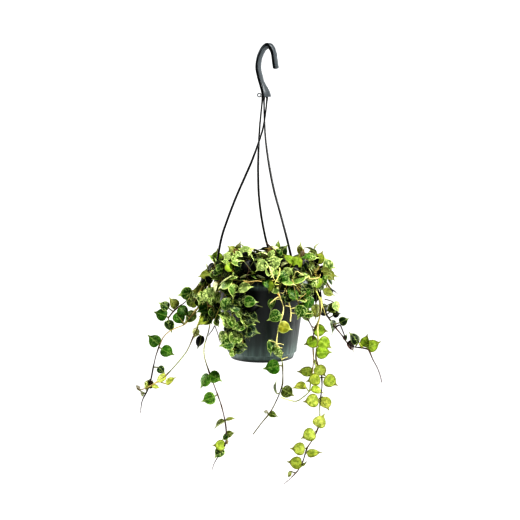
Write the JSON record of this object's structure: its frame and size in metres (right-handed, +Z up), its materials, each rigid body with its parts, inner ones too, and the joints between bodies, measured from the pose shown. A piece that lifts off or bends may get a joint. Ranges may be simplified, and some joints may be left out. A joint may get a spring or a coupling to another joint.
{
  "type": "potted hoya curtisii",
  "caption": "Trailing plant with small, thick, spade-shaped leaves in a tapered plastic hanging pot, carried by a moulded hanger of slim strands below one hook.",
  "frame": {"origin": "seat of the hook: the highest point inside its crook, where it bears on a rail", "axes": "+Z up, +Y away from the viewer of the picture, +X to the viewer's right"},
  "size_m": [0.3694, 0.2069, 0.6302],
  "materials": {
    "pot": "satin moulded plastic, dark slate grey",
    "hanger": "moulded plastic with a soft gloss, grey-black",
    "soil": "moist, crumbly peat-based potting mix",
    "foliage": "waxy leaves, green flecked with silver and lime",
    "foliage_lime": "waxy leaves, yellow-green with faint flecks"
  },
  "bodies": {
    "root": {"pot": "pot", "hanger": "hanger", "soil": "soil", "vine_left_long": "foliage", "vine_left_short": "foliage", "vine_left_low": "foliage", "vine_left_front": "foliage", "vine_front_left": "foliage", "vine_front_middle": "foliage", "vine_front_tan": "foliage", "vine_front_tan_short": "foliage", "vine_right_yellow": "foliage_lime", "vine_right_lime": "foliage_lime", "vine_right_dark": "foliage", "vine_back_1": "foliage", "vine_back_2": "foliage", "vine_back_3": "foliage", "vine_back_4": "foliage", "vine_crown_01": "foliage", "vine_crown_02": "foliage", "vine_crown_03": "foliage", "vine_crown_04": "foliage", "vine_crown_05": "foliage", "vine_crown_06": "foliage", "vine_crown_07": "foliage", "vine_crown_08": "foliage", "vine_crown_09": "foliage", "vine_crown_10": "foliage", "vine_crown_11": "foliage", "vine_crown_12": "foliage", "vine_crown_13": "foliage", "vine_crown_14": "foliage", "vine_crown_15": "foliage", "vine_crown_16": "foliage", "vine_crown_17": "foliage", "vine_crown_18": "foliage", "vine_crown_19": "foliage", "vine_crown_20": "foliage", "vine_crown_21": "foliage", "vine_crown_22": "foliage", "vine_crown_23": "foliage", "vine_crown_24": "foliage", "vine_crown_25": "foliage"}
  },
  "joints": []
}
